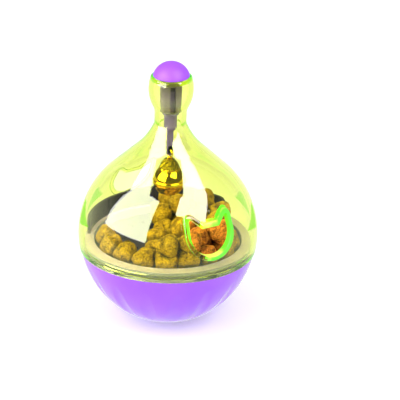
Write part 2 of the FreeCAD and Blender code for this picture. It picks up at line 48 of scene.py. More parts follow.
# Camera
# The photograph's view, from the outlet's left and 25 degrees above the table.
# It stands 1.4 m from the lid's joint, and the picture leans by about a degree.
joint_height = 0.0353
camera_side = math.radians(-30.3)
camera_rise = math.radians(25)
camera_lean = math.radians(1.3)
camera_distance = 1.4
picture_width = 400
focal_pixels = 2912
joint_pixel = (167.6, 245.5)

camera_data = bpy.data.cameras.new("camera")
camera_data.sensor_width = 36
camera_data.lens = camera_data.sensor_width * focal_pixels / picture_width
camera_data.clip_start = 0.05
camera_data.clip_end = 20
camera = bpy.data.objects.new("camera", camera_data)
scene.collection.objects.link(camera)
scene.camera = camera
towards_camera = Vector((math.sin(camera_side) * math.cos(camera_rise),
                         -math.cos(camera_side) * math.cos(camera_rise),
                         math.sin(camera_rise)))
camera.location = Vector((0, 0, joint_height)) + towards_camera * camera_distance
aim_right = (picture_width / 2 - joint_pixel[0]) / focal_pixels
aim_up = (joint_pixel[1] - picture_width / 2) / focal_pixels
camera.rotation_mode = "QUATERNION"
camera.rotation_quaternion = (
    (-towards_camera).to_track_quat("-Z", "Y")
    @ Quaternion((0, 0, 1), camera_lean)
    @ Quaternion((0, 1, 0), -aim_right)
    @ Quaternion((1, 0, 0), aim_up)
)

# Studio
# A white table, and two softboxes: a large upright one on the left and a smaller
# tilted one on the right. The clear dome mirrors both as white fans.
scene.cycles.max_bounces = 32
scene.cycles.transmission_bounces = 32
scene.cycles.glossy_bounces = 24
scene.cycles.transparent_max_bounces = 32
softbox_origin = Vector((0, 0, 0.043))
mirrored_behind = 0.02


def add_softbox(name, centre, across, up, width, height, light, mirrored):
    """One lamp that lights, and one just behind it that only shows in reflections."""
    facing = Quaternion((0, 0, 1), camera_side)
    x_axis = (facing @ Vector(across)).normalized()
    z_axis = x_axis.cross(facing @ Vector(up)).normalized()
    turn = Matrix((x_axis, z_axis.cross(x_axis), z_axis)).transposed()
    for part, radiance, back in (("light", light, 0), ("mirrored", mirrored, mirrored_behind)):
        data = bpy.data.lights.new(name + "_" + part, "AREA")
        data.shape = "RECTANGLE"
        data.size = width
        data.size_y = height
        data.energy = radiance * math.pi * width * height
        lamp = bpy.data.objects.new(name + "_" + part, data)
        lamp.matrix_world = (Matrix.Translation(softbox_origin + facing @ Vector(centre)
                                                + z_axis * back) @ turn.to_4x4())
        seen = part == "mirrored"
        lamp.visible_camera = False
        lamp.visible_diffuse = not seen
        lamp.visible_glossy = seen
        lamp.visible_transmission = seen
        scene.collection.objects.link(lamp)


add_softbox("left_softbox", (-0.452, -0.221, 0.467), (0.507, -0.543, -0.017),
            (0.03, 0.122, 0.81), 0.70, 0.79, light=2.2, mirrored=11.5)
add_softbox("right_softbox", (0.275, -0.310, 0.575), (0.220, 0.444, -0.471),
            (0.04, 0.132, 0.325), 0.61, 0.43, light=2.9, mirrored=13.0)


def feed(node, inputs):
    """Sets a node's inputs: numbers and colours are written, sockets are linked, and a node
    stands for its first output."""
    for label, value in dict(inputs).items():
        socket = node.inputs[label]
        if isinstance(value, bpy.types.Node):
            value = value.outputs[0]
        if isinstance(value, bpy.types.NodeSocket):
            node.id_data.links.new(value, socket)
        elif socket.type == "RGBA":
            socket.default_value = (*value, 1)
        else:
            socket.default_value = value


def add(tree, kind, inputs=(), **settings):
    """A new node in a tree, with its settings and its inputs."""
    node = tree.nodes.new(kind)
    for key, value in settings.items():
        setattr(node, key, value)
    feed(node, inputs)
    return node


def sums_in(tree):
    """A short way to add Math nodes to a tree: operation, then what it works on."""
    def sums(operation, *terms):
        return add(tree, "ShaderNodeMath", enumerate(terms), operation=operation).outputs[0]
    return sums


def ramp(tree, value, first, *middle, last):
    """A colour that follows a value through stops, each a position and a colour."""
    made = add(tree, "ShaderNodeValToRGB", {"Fac": value})
    stops = made.color_ramp.elements
    for stop, (position, colour) in zip(stops, (first, last)):
        stop.position = position
        stop.color = (*colour, 1)
    for position, colour in middle:
        stops.new(position).color = (*colour, 1)
    return made


def mix_shaders(tree, share, first, second):
    """Goes from the first shader to the second by share."""
    return add(tree, "ShaderNodeMixShader", {0: share, 1: first, 2: second})


def new_material(name):
    """A material, its tree and its shader."""
    made = bpy.data.materials.new(name)
    made.use_nodes = True
    return made, made.node_tree, made.node_tree.nodes["Principled BSDF"]


def object_place(tree):
    """Where on the object a point lies, so that a pattern stays on its piece."""
    return add(tree, "ShaderNodeTexCoord").outputs["Object"]


def ray_kinds(tree):
    """Sockets that are 1 for rays that a dull surface scattered, for rays mirrored once on
    the outside, and for rays mirrored once by something inside the dome."""
    rays = add(tree, "ShaderNodeLightPath")
    sums = sums_in(tree)
    scattered = sums("GREATER_THAN", rays.outputs["Diffuse Depth"], 0.5)
    once = sums("COMPARE", rays.outputs["Glossy Depth"], 1.0, 0.5)
    through = sums("GREATER_THAN", rays.outputs["Transmission Depth"], 2.5)
    return scattered, once, sums("MULTIPLY", once, through)


def front_dimming(tree, vector, start, end):
    """A strength that falls from 1 as the vector reaches towards the camera's side."""
    side = (math.sin(camera_side), -math.cos(camera_side), 0)
    reach = add(tree, "ShaderNodeVectorMath", {0: vector, 1: side}, operation="DOT_PRODUCT")
    return add(tree, "ShaderNodeMapRange", {"Value": reach.outputs["Value"], "From Min": start,
                                            "From Max": end, "To Min": 1, "To Max": 0.3})


# The world lights softly. Seen straight or through clear plastic it is white. What
# mirrors it sees it darken overhead and in front, and so does the table far in front.
# The bell in the dome mirrors a dim room.
world = bpy.data.worlds.new("studio")
scene.world = world
world.use_nodes = True
tree = world.node_tree
room = tree.nodes["Background"]
feed(room, {"Color": (1, 1, 1), "Strength": 0.75})
white = add(tree, "ShaderNodeBackground", {"Color": (1, 1, 1), "Strength": 1})
direction = add(tree, "ShaderNodeTexCoord").outputs["Generated"]
height = add(tree, "ShaderNodeSeparateXYZ", {0: direction}).outputs["Z"]
fall = ramp(tree, height, (0.15, (0.95, 0.95, 0.95)), last=(0.6, (0.22, 0.22, 0.22)))
overhead = add(tree, "ShaderNodeBackground",
               {"Color": fall, "Strength": front_dimming(tree, direction, 0.2, 0.6)})
dark = add(tree, "ShaderNodeBackground", {"Color": (0.12, 0.12, 0.12)})
scattered, once, inside = ray_kinds(tree)
shown = mix_shaders(tree, once, white, overhead)
shown = mix_shaders(tree, inside, shown, dark)
shown = mix_shaders(tree, scattered, shown, room)
feed(tree.nodes["World Output"], {"Surface": shown})

floor_reach = 3.0
floor_corners = [(floor_reach * x, floor_reach * y, 0)
                 for x, y in ((-1, -1), (1, -1), (1, 1), (-1, 1))]
floor_mesh = bpy.data.meshes.new("floor")
floor_mesh.from_pydata(floor_corners, [], [(0, 1, 2, 3)])
floor = bpy.data.objects.new("floor", floor_mesh)
scene.collection.objects.link(floor)
table_white, tree, table_top = new_material("table_white")
feed(table_top, {"Base Color": (0.80, 0.80, 0.82), "Roughness": 0.55,
                 "Specular IOR Level": 0.2})
glow = add(tree, "ShaderNodeEmission", {"Strength": 0.35})
plain = add(tree, "ShaderNodeAddShader", {0: table_top, 1: glow})
seen = add(tree, "ShaderNodeEmission",
           {"Strength": front_dimming(tree, object_place(tree), 0.10, 0.22)})
scattered, once, _ = ray_kinds(tree)
shown = mix_shaders(tree, scattered, plain, table_top)
shown = mix_shaders(tree, once, shown, seen)
feed(tree.nodes["Material Output"], {"Surface": shown})
floor_mesh.materials.append(table_white)

# Base bowl
# The purple lower half, a glossy moulded shell on a small flat foot, with a ring of
# shallow leaf-shaped flutes. The counterweight and the treats' tray sit in it.
bowl_radius = 0.04235
bowl_semi_height = 0.0442
equator = 0.0430
bowl_wall = 0.0020
rim_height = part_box("base_bowl")[1].z
foot_radius = 0.0098
tray_seat = 0.0273
tray_seat_radius = 0.0353
seat_slope_end = 0.0233
bowl_floor = 0.0024
boss_radius = 0.0034
boss_top = 0.0095
bowl_sides = 384
flute_height = 0.0163
on_axis = 1e-7


def skin(made, loops, closed):
    """Faces between each loop of points and the next. A loop may be a single point."""
    pairs = list(zip(loops, loops[1:]))
    if closed:
        pairs.append((loops[-1], loops[0]))
    faces = []
    for low, high in pairs:
        sides = max(len(low), len(high))
        if sides == 1:
            continue
        for side in range(sides):
            after = (side + 1) % sides
            corners = [low[side % len(low)], low[after % len(low)],
                       high[after % len(high)], high[side % len(high)]]
            faces.append(made.faces.new(list(dict.fromkeys(corners))))
    return faces


def finished_mesh(made, name):
    """The mesh of a finished skin, its faces turned outwards."""
    bmesh.ops.recalc_face_normals(made, faces=made.faces)
    mesh = bpy.data.meshes.new(name)
    made.to_mesh(mesh)
    made.free()
    return mesh


def full_turn(sides):
    """The angles of evenly spaced points once round."""
    return [2 * math.pi * side / sides for side in range(sides)]


def turned_mesh(name, outline, sides, closed=True):
    """A lathe mesh: the outline's (radius, height) points turned once round Z."""
    made = bmesh.new()
    loops = []
    for radius, height in outline:
        if radius < on_axis:
            loops.append([made.verts.new((0, 0, height))])
            continue
        loops.append([made.verts.new((radius * math.cos(turn), radius * math.sin(turn), height))
                      for turn in full_turn(sides)])
    skin(made, loops, closed)
    return finished_mesh(made, name)


def modified_mesh(source, kind, inputs=None, **settings):
    """The mesh that a modifier makes of an object, which is used up. The inputs of its
    tree are set by their identifiers."""
    scene.collection.objects.link(source)
    step = source.modifiers.new(kind, kind)
    for key, value in settings.items():
        setattr(step, key, value)
    if inputs:
        for socket in step.node_group.interface.items_tree:
            if socket.in_out == "INPUT" and socket.name in inputs:
                step[socket.identifier] = inputs[socket.name]
    mesh = bpy.data.meshes.new_from_object(
        source.evaluated_get(bpy.context.evaluated_depsgraph_get()))
    bpy.data.objects.remove(source)
    return mesh


def finish_piece(name, mesh, materials, body, node, crease=35):
    """Shades a mesh and makes it a piece on a body, in a node's place and with a slot's look."""
    mesh.shade_smooth()
    mesh.set_sharp_from_angle(angle=math.radians(crease))
    for index, material in enumerate(materials):
        if index == len(mesh.materials):
            mesh.materials.append(material)
        mesh.materials[index] = material
    piece = bpy.data.objects.new(name, mesh)
    scene.collection.objects.link(piece)
    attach(piece, body)
    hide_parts(node)


def bowl_edge(inset, start, end, steps):
    """The ellipse's stretch between two heights, in even turns."""
    semi_height = bowl_semi_height - inset
    first = math.asin((start - equator) / semi_height)
    last = math.asin((end - equator) / semi_height)
    turns = [first + (last - first) * step / steps for step in range(steps + 1)]
    return [((bowl_radius - inset) * math.cos(turn), equator + semi_height * math.sin(turn))
            for turn in turns]


def geometry_tree(name, inputs):
    """A geometry node tree with a geometry going in and out, and named number inputs."""
    tree = bpy.data.node_groups.new(name, "GeometryNodeTree")
    for way in ("INPUT", "OUTPUT"):
        tree.interface.new_socket("Geometry", in_out=way, socket_type="NodeSocketGeometry")
    for label, value in inputs.items():
        kind = "NodeSocketInt" if isinstance(value, int) else "NodeSocketFloat"
        socket = tree.interface.new_socket(label, in_out="INPUT", socket_type=kind)
        socket.default_value = value
    return tree, tree.nodes.new("NodeGroupInput").outputs


def end_tree(tree, geometry, material):
    """Real geometry with its material goes out of the tree."""
    real = add(tree, "GeometryNodeRealizeInstances", {0: geometry})
    coated = add(tree, "GeometryNodeSetMaterial", {"Geometry": real, "Material": material})
    add(tree, "NodeGroupOutput", {"Geometry": coated})


def along_normal(tree, geometry, distance):
    """Moves every point along its normal."""
    normal = add(tree, "GeometryNodeInputNormal")
    way = add(tree, "ShaderNodeVectorMath", {0: normal, "Scale": distance}, operation="SCALE")
    return add(tree, "GeometryNodeSetPosition", {"Geometry": geometry, "Offset": way})


def noise(tree, place, scale, detail, **more):
    """Patches without order over a place, finer as the scale rises."""
    return add(tree, "ShaderNodeTexNoise",
               {"Vector": place, "Scale": scale, "Detail": detail, **more})


def between(tree, value, low, high):
    """Carries a value of 0 to 1 over to the range from low to high."""
    return add(tree, "ShaderNodeMapRange", {"Value": value, "To Min": low, "To Max": high})


def relief(tree, height, strength, distance):
    """A fine relief for a shader's Normal."""
    return add(tree, "ShaderNodeBump",
               {"Height": height, "Strength": strength, "Distance": distance})


# The moulded plastic flows in two close tones, and fine specks stand out of its gloss.
purple, tree, plastic = new_material("purple_plastic")
place = object_place(tree)
specks = add(tree, "ShaderNodeTexVoronoi", {"Vector": place, "Scale": 190})
speck_size = add(tree, "ShaderNodeMapRange", {"Value": specks, "From Min": 0.03,
                                              "From Max": 0.06, "To Min": 1, "To Max": 0})
feed(plastic, {"Base Color": ramp(tree, noise(tree, place, 38, 3), (0.3, (0.33, 0.065, 0.93)),
                                  last=(0.7, (0.40, 0.095, 0.99))),
               "Roughness": between(tree, noise(tree, place, 120, 5), 0.16, 0.30),
               "IOR": 1.52, "Coat Weight": 0.6, "Coat Roughness": 0.06,
               "Normal": relief(tree, speck_size, 0.35, 0.0001)})

# The flutes: every point of the outside is moved in by the depth of the nearest leaf.
flute_radius = bowl_radius * math.sqrt(1 - ((flute_height - equator) / bowl_semi_height) ** 2)
flute_sizes = {"Leaves": 16, "Depth": 0.00045, "Half length": 0.0135, "Half width": 0.0034,
               "Leaf turn": math.atan2(flute_height - equator, flute_radius)}
tree, given = geometry_tree("leaf_flutes", flute_sizes)
sums = sums_in(tree)
place = add(tree, "GeometryNodeInputPosition")
x, y, z = add(tree, "ShaderNodeSeparateXYZ", {0: place}).outputs
reach = sums("SQRT", sums("ADD", sums("MULTIPLY", x, x), sums("MULTIPLY", y, y)))
half = sums("MULTIPLY", sums("DIVIDE", 2 * math.pi, given["Leaves"]), 0.5)
turn = sums("WRAP", sums("ARCTAN2", y, x), half, sums("MULTIPLY", half, -1.0))
across = sums("DIVIDE", sums("MULTIPLY", turn, reach), given["Half width"])
slope = sums("ARCTAN2", sums("SUBTRACT", z, equator), reach)
along = sums("MULTIPLY", sums("SUBTRACT", slope, given["Leaf turn"]), bowl_radius)
along = sums("DIVIDE", along, given["Half length"])
share = sums("SUBTRACT", 1.0, sums("MULTIPLY", across, across))
share = sums("SUBTRACT", share, sums("MULTIPLY", along, along))
depth = sums("MULTIPLY", sums("MAXIMUM", share, 0.0), given["Depth"])
from_centre = add(tree, "ShaderNodeVectorMath", {0: place, 1: (0, 0, equator)},
                  operation="SUBTRACT")
facing = add(tree, "ShaderNodeVectorMath",
             {0: add(tree, "GeometryNodeInputNormal"), 1: from_centre}, operation="DOT_PRODUCT")
outside = sums("GREATER_THAN", facing.outputs["Value"], 0.0)
inward = sums("MULTIPLY", sums("MULTIPLY", depth, outside), -1.0)
end_tree(tree, along_normal(tree, given["Geometry"], inward), purple)

outline = [(0, 0), (foot_radius * 0.5, 0)]
outline += bowl_edge(0, 0, rim_height, 96)
outline += bowl_edge(bowl_wall, rim_height, tray_seat, 8)
outline += [(tray_seat_radius, tray_seat)]
outline += bowl_edge(bowl_wall, seat_slope_end, bowl_floor, 24)
outline += [(boss_radius, bowl_floor), (boss_radius, boss_top), (0, boss_top)]
bowl_mesh = turned_mesh("bowl_shell", outline, bowl_sides, closed=False)
bowl_mesh = modified_mesh(bpy.data.objects.new("bowl_shell", bowl_mesh), "NODES",
                          flute_sizes, node_group=tree)
finish_piece("bowl", bowl_mesh, [purple], "base", "base_bowl", crease=50)

# Counterweight, washer and screw
# The cast iron weight in the bottom of the bowl, held down on the boss by a plated
# washer and screw. Their solids stay as they are, under casting skin and zinc plate.


def metal(name, colour, roughness, grain_scale, grain_strength):
    """A metal with an uneven polish and a fine relief."""
    made, tree, surface = new_material(name)
    wear = noise(tree, object_place(tree), grain_scale, 4)
    feed(surface, {"Base Color": colour, "Metallic": 1,
                   "Roughness": between(tree, wear, roughness * 0.6, roughness * 1.4),
                   "Normal": relief(tree, wear, grain_strength, 0.0002)})
    return made


def dress(node, material):
    """Gives a CAD node's own mesh a material."""
    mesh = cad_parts[node].data
    mesh.materials.clear()
    mesh.materials.append(material)


cast_iron = metal("cast_iron", (0.13, 0.13, 0.14), 0.55, 900, 0.6)
zinc_plate = metal("zinc_plate", (0.62, 0.62, 0.64), 0.25, 1500, 0.1)
dress("counterweight", cast_iron)
dress("weight_washer", zinc_plate)
dress("weight_screw", zinc_plate)

# Floor tray
# The plate that the treats lie on, moulded in the same dark violet plastic as the ring.
# It closes the weight's space and shows where the treats leave it bare.
dark_tones = ((0.013, 0.008, 0.060), (0.022, 0.014, 0.100))


def inner_plastic(name, low, high, roughness):
    """The violet plastic of the inner pieces, between two tones, with fine scratches."""
    made, tree, surface = new_material(name)
    place = object_place(tree)
    stretched = add(tree, "ShaderNodeMapping", {"Vector": place, "Scale": (1, 1, 0.08)})
    scratches = noise(tree, stretched, 400, 2)
    feed(surface, {"Base Color": ramp(tree, noise(tree, place, 60, 4), (0.3, low),
                                      last=(0.7, high)),
                   "Roughness": between(tree, scratches, roughness * 0.7, roughness * 1.3),
                   "Specular IOR Level": 0.3, "Normal": relief(tree, scratches, 0.15, 0.0001)})
    return made


dress("floor_tray", inner_plastic("dark_violet_plastic", *dark_tones, 0.3))

# Treats
# Pressed, baked treats about a centimetre wide: thick rounded triangles with a
# coarse, pitted crust. One lies in the place of each solid of the CAD node.
treat_reach = 0.0054
treat_half_thickness = 0.0044
triangle_share = 0.11
pillow_power = 3.1
tray_top = 0.0368
ring_inner_radius = 0.03545
pit_shade_scale = 1100.0
joined_within = 1e-6
flat_guess = Vector((0.3, 0.5, 0.8))
search_steps = 60


def mix_colours(tree, share, first, second, blend="MIX"):
    """The first colour, mixed with the second by share, or multiplied by it."""
    return add(tree, "ShaderNodeMix", {"Factor": share, "A": first, "B": second},
               data_type="RGBA", blend_type=blend).outputs["Result"]


# The crust is painted darker in its pits, as painted shade. Seen bare it is red-brown; seen
# through the dome it is painted darker and olive, as painted shade for the dimmer light inside.
baked, tree, crust = new_material("baked_treat")
sums = sums_in(tree)
place = object_place(tree)
crumbs = noise(tree, place, 1500, 5, Roughness=0.7)
# The crust's stored height paints shade into its pits.
pit_shade = add(tree, "ShaderNodeAttribute", attribute_name="height").outputs["Fac"]
tint_at = sums("ADD", sums("MULTIPLY", crumbs, 0.55),
               sums("MULTIPLY", noise(tree, place, 120, 2), 0.12))
tint_at = sums("ADD", tint_at, sums("MULTIPLY", pit_shade, 0.38))
brown_with_pit_shade = ramp(tree, tint_at, (0.36, (0.02, 0.008, 0.0005)), (0.44, (0.15, 0.07, 0.003)),
             (0.53, (0.35, 0.18, 0.005)), last=(0.66, (0.68, 0.37, 0.012)))
# Seen through the dome the crust keeps the darker olive colour, as painted shade; seen bare it is
# multiplied up to red-brown.
rays = add(tree, "ShaderNodeLightPath")
bare = sums("LESS_THAN", rays.outputs["Transmission Depth"], 0.5)
tint = mix_colours(tree, bare, brown_with_pit_shade, (1.72, 0.96, 3.6), "MULTIPLY")
# Ambient occlusion paints shade into the gaps between treats.
gap_shade = add(tree, "ShaderNodeAmbientOcclusion", {"Distance": 0.003}, samples=4)
shade = sums("POWER", gap_shade.outputs["AO"], 1.3)
feed(crust, {"Base Color": mix_colours(tree, 1, tint, shade, "MULTIPLY"), "Roughness": 0.7,
             "Specular IOR Level": 0.12, "Normal": relief(tree, crumbs, 1, 0.0007)})


def pillow_point(direction):
    """A point of the plain treat: a rounded triangle, flatter above and below."""
    around = math.atan2(direction.y, direction.x)
    flat = math.hypot(direction.x, direction.y)
    reach = treat_reach * (1 + triangle_share * math.cos(3 * around))
    size = (flat ** pillow_power + abs(direction.z) ** pillow_power) ** (-1 / pillow_power)
    return Vector((direction.x * size * reach, direction.y * size * reach,
                   direction.z * size * treat_half_thickness))


pillow = bmesh.new()
bmesh.ops.create_icosphere(pillow, subdivisions=5, radius=1)
for vert in pillow.verts:
    vert.co = pillow_point(vert.co.normalized())
pillow_mesh = bpy.data.meshes.new("plain_treat")
pillow.to_mesh(pillow_mesh)
pillow.free()
pillow_object = bpy.data.objects.new("plain_treat", pillow_mesh)
scene.collection.objects.link(pillow_object)

# Where each solid lies: the middle of its joined points, and its thinnest direction,
# found step by step from a guess.
solids = bmesh.new()
solids.from_mesh(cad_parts["treats"].data)
bmesh.ops.remove_doubles(solids, verts=solids.verts, dist=joined_within)
solids.verts.ensure_lookup_table()
treat_places = []
left = set(range(len(solids.verts)))
while left:
    group = []
    queue = [left.pop()]
    while queue:
        vert = solids.verts[queue.pop()]
        group.append(vert.co.copy())
        for edge in vert.link_edges:
            other = edge.other_vert(vert).index
            if other in left:
                left.remove(other)
                queue.append(other)
    centre = sum(group, Vector()) / len(group)
    spread = Matrix(((0, 0, 0), (0, 0, 0), (0, 0, 0)))
    for point in group:
        away = point - centre
        spread += Matrix([[a * b for b in away] for a in away])
    thin = flat_guess
    inverse = (spread + Matrix.Identity(3) * 1e-9).inverted()
    for _ in range(search_steps):
        thin = (inverse @ thin).normalized()
    treat_places.append((centre, thin.to_track_quat("Z", "Y").to_euler()))
solids.free()
treat_places.sort(key=lambda found: tuple(found[0]))

spots = bpy.data.meshes.new("treat_spots")
spots.from_pydata([centre for centre, _ in treat_places], [], [])
turns = spots.attributes.new("turn", "FLOAT_VECTOR", "POINT")
for index, (_, turn) in enumerate(treat_places):
    turns.data[index].vector = turn

# Each spot takes a treat of its own size, and the joined crust is pushed in and out.
treat_sizes = {"Seed": 7, "Smallest": 0.92, "Largest": 1.06, "Lump scale": 300.0,
               "Lump depth": 0.0010, "Crumb scale": 1150.0, "Crumb depth": 0.0007}
tree, given = geometry_tree("heap_of_treats", treat_sizes)
sums = sums_in(tree)
plain = add(tree, "GeometryNodeObjectInfo", {"Object": pillow_object, "As Instance": True})
turn = add(tree, "GeometryNodeInputNamedAttribute", {"Name": "turn"}, data_type="FLOAT_VECTOR")
size = add(tree, "FunctionNodeRandomValue",
           {2: given["Smallest"], 3: given["Largest"], "Seed": given["Seed"]})
put = add(tree, "GeometryNodeInstanceOnPoints",
          {"Points": given["Geometry"], "Instance": plain.outputs["Geometry"],
           "Rotation": turn.outputs["Attribute"], "Scale": size.outputs[1]})
real = add(tree, "GeometryNodeRealizeInstances", {0: put})
place = add(tree, "GeometryNodeInputPosition")
heights = []
for part in ("Lump", "Crumb"):
    uneven = noise(tree, place, given[part + " scale"], 2)
    heights.append(sums("MULTIPLY", sums("SUBTRACT", uneven, 0.5), given[part + " depth"]))
height = sums("ADD", *heights)
# The push is kept as the height attribute, for the crust's painted pit shade.
keep = add(tree, "GeometryNodeStoreNamedAttribute",
           {"Geometry": real, "Name": "height",
            "Value": sums("ADD", sums("MULTIPLY", height, pit_shade_scale), 0.5)},
           data_type="FLOAT", domain="POINT")
end_tree(tree, along_normal(tree, keep, height), baked)
treat_mesh = modified_mesh(bpy.data.objects.new("treat_spots", spots), "NODES",
                           treat_sizes, node_group=tree)
bpy.data.objects.remove(pillow_object)

# The crust stays inside the ring and on the tray.
for vert in treat_mesh.vertices:
    reach = math.hypot(vert.co.x, vert.co.y)
    if reach > ring_inner_radius:
        vert.co.x *= ring_inner_radius / reach
        vert.co.y *= ring_inner_radius / reach
    vert.co.z = max(vert.co.z, tray_top)
finish_piece("kibble", treat_mesh, [baked], "base", "treats", crease=180)

# Gate ring
# The moulded violet ring between bowl and dome. Its flange frames the treats in a pale tone,
# with painted light making its top lighter than its side. Its wall stands behind one outlet
# in the dark violet, partly the plastic's own tone and partly painted shade. Lugs under it
# lock in the bowl, and the dome snaps round it.
flange_top = 0.0403
lit_top_blend = (-0.0005, -0.0001)
wall_shade_blend = (0.0001, 0.0006)
flange_shaded_side_tone = (0.26, 0.24, 0.70)
flange_painted_lit_top_tone = (0.52, 0.38, 1.0)
ring_plastic_lit_and_shaded = inner_plastic("ring_plastic_lit_and_shaded", *dark_tones, 0.3)
tree = ring_plastic_lit_and_shaded.node_tree
ring_colour = tree.nodes["Principled BSDF"].inputs["Base Color"]
wall_dark_and_shade_tone = ring_colour.links[0].from_socket
# Painted light and shade by height: the flange's side is darker and its top lighter, and the wall
# above it takes the dark tone.
height = add(tree, "ShaderNodeSeparateXYZ", {0: object_place(tree)}).outputs["Z"]
lit_top_share, wall_shade_share = [
    add(tree, "ShaderNodeMapRange",
        {"Value": height, "From Min": flange_top + start, "From Max": flange_top + end})
    for start, end in (lit_top_blend, wall_shade_blend)]
flange_lit_and_shaded_tone = mix_colours(tree, lit_top_share, flange_shaded_side_tone, flange_painted_lit_top_tone)
tree.links.new(mix_colours(tree, wall_shade_share, flange_lit_and_shaded_tone, wall_dark_and_shade_tone), ring_colour)
dress("gate_ring", ring_plastic_lit_and_shaded)

# Dome
# One clear moulding in yellow-green, 2.4 mm thick: a ball that draws in to a neck and
# swells to a bulb. Two cat-head outlets have raised rims, and it snaps on the ring.
ball_radius = 0.043
dome_wall = 0.0024
neck_radius = 0.00765
flare_radius = 0.0345
crease_angle = math.radians(21)
crease_height = 0.0996
bulb_radius = 0.0107
bulb_arc = 0.019
bulb_equator = 0.1168
neck_fillet = 0.0087
dome_top = 0.1231
dome_edge_rounding = 0.0008
cap_hole_radius = 0.0046
dome_lip = joint_height + 0.00015
bead_top = 0.0386
bead_bottom = 0.0371
bead_inner = 0.0392
bead_slope = 0.0003
lip_slope = 0.0005
lip_step = 0.0002
dome_sides = 256
outlet_half_width = 0.0107
outlet_bottom = joint_height + 0.0124
ear_tip = (0.0102, outlet_bottom + 0.0184)
ear_root = (0.0045, outlet_bottom + 0.0134)
ear_rounding = 0.0009
root_rounding = 0.0007
least_rounding = 0.0002
least_mitre = 0.2
rim_width = 0.0022
rim_proud = 0.0009
rim_overlap = 0.0003
rim_root = dome_wall - 0.00005
rim_outer_edge = 0.0005
rim_inner_edge = 0.0003
hole_from = 0.02
hole_to = 0.05
painted_glow_from = -0.004


def arc_points(centre, radius, start, end, steps):
    """Points of an arc between two angles in degrees, in the (radius, height) plane."""
    turns = [math.radians(start + (end - start) * step / steps) for step in range(steps + 1)]
    return [(centre[0] + radius * math.cos(turn), centre[1] + radius * math.sin(turn))
            for turn in turns]


def arc_between(centre, start, end, steps):
    """Points of the shorter arc about centre from start to end."""
    first = math.atan2(start[1] - centre[1], start[0] - centre[0])
    last = math.atan2(end[1] - centre[1], end[0] - centre[0])
    if last - first > math.pi:
        last -= 2 * math.pi
    if first - last > math.pi:
        last += 2 * math.pi
    radius = math.hypot(start[0] - centre[0], start[1] - centre[1])
    return arc_points(centre, radius, math.degrees(first), math.degrees(last), steps)


def dome_radius_at(height, inset):
    """The radius of the dome's ball at a height, moved in by inset."""
    return math.sqrt((ball_radius - inset) ** 2 - (height - equator) ** 2)


def dome_outline(inset, low, high):
    """The dome's side from a height on the ball to one on the bulb, moved in by inset."""
    flare = (neck_radius + flare_radius * math.cos(crease_angle),
             crease_height + flare_radius * math.sin(crease_angle))
    across = flare[0]
    up = flare[1] - equator
    lean = math.atan2(up, across) - math.acos((ball_radius + flare_radius)
                                              / math.hypot(across, up))
    away = (math.cos(lean), math.sin(lean))
    radius = ball_radius - inset
    cone_low = (away[0] * radius, equator + away[1] * radius)
    cone_high = (flare[0] - away[0] * (flare_radius + inset),
                 flare[1] - away[1] * (flare_radius + inset))
    neck = neck_radius - inset
    rise = math.sqrt((flare_radius + inset) ** 2 - (flare[0] - neck) ** 2)
    bulb = (bulb_radius - bulb_arc, bulb_equator)
    fillet_across = neck_radius + neck_fillet - bulb[0]
    fillet_drop = math.sqrt((bulb_arc + neck_fillet) ** 2 - fillet_across ** 2)
    fillet = (neck_radius + neck_fillet, bulb_equator - fillet_drop)
    reach = math.hypot(fillet[0] - bulb[0], fillet[1] - bulb[1])
    bulb_low = (bulb[0] + (fillet[0] - bulb[0]) * (bulb_arc - inset) / reach,
                bulb[1] + (fillet[1] - bulb[1]) * (bulb_arc - inset) / reach)
    top = (bulb[0] + math.sqrt((bulb_arc - inset) ** 2 - (high - bulb[1]) ** 2), high)
    found = arc_between((0, equator), (dome_radius_at(low, inset), low), cone_low, 72)
    found += arc_between(flare, cone_high, (neck, flare[1] - rise), 28)
    found += arc_between(fillet, (neck, fillet[1]), bulb_low, 14)
    found += arc_between(bulb, bulb_low, top, 18)[1:]
    return found


def corner_arc(before, here, after, rounding):
    """The centre, start and end of the arc that rounds a corner."""
    back = (before - here).normalized()
    onward = (after - here).normalized()
    half = back.angle(onward) / 2
    centre = here + (back + onward).normalized() * rounding / math.sin(half)
    return (centre, here + back * rounding / math.tan(half),
            here + onward * rounding / math.tan(half))


def outlet_points(grow):
    """The cat head's outline in the XZ plane, moved outwards by grow."""
    cheek = outlet_bottom + outlet_half_width
    right = [(outlet_half_width, cheek), ear_tip, ear_root]
    corners = [Vector(p) for p in right + [(-x, z) for x, z in right[::-1]]]
    below = Vector((0, -0.01))
    moved = []
    for index, here in enumerate(corners):
        before = corners[index - 1] if index else here + below
        after = corners[index + 1] if index + 1 < len(corners) else here + below
        first = (here - before).normalized()
        second = (after - here).normalized()
        out_first = Vector((first.y, -first.x))
        mitre = (out_first + Vector((second.y, -second.x))).normalized()
        moved.append(here + mitre * grow / max(mitre.dot(out_first), least_mitre))
    found = arc_points((0, cheek), outlet_half_width + grow, 180, 360, 40)
    ear = ear_rounding + grow
    root = max(root_rounding - grow, least_rounding)
    for index, rounding in enumerate((ear, root, root, ear)):
        found += arc_between(*corner_arc(*moved[index:index + 3], rounding), 6)
    return [Vector(p) for p in found]


def prism(name, points, near, far):
    """A closed outline in the XZ plane, extruded along Y."""
    made = bmesh.new()
    front, back = [[made.verts.new((p[0], y, p[1])) for p in points] for y in (near, far)]
    made.faces.new(front)
    made.faces.new(back)
    skin(made, [front, back], closed=False)
    return finished_mesh(made, name)


def combined(base, tool, operation):
    """The mesh of one boolean step, both meshes used up."""
    other = bpy.data.objects.new("boolean_tool", tool)
    scene.collection.objects.link(other)
    mesh = modified_mesh(bpy.data.objects.new("boolean_base", base), "BOOLEAN",
                         operation=operation, solver="EXACT", object=other)
    bpy.data.objects.remove(other)
    return mesh


def two_slots(mesh):
    """Room for two materials on a mesh."""
    mesh.materials.append(None)
    mesh.materials.append(None)


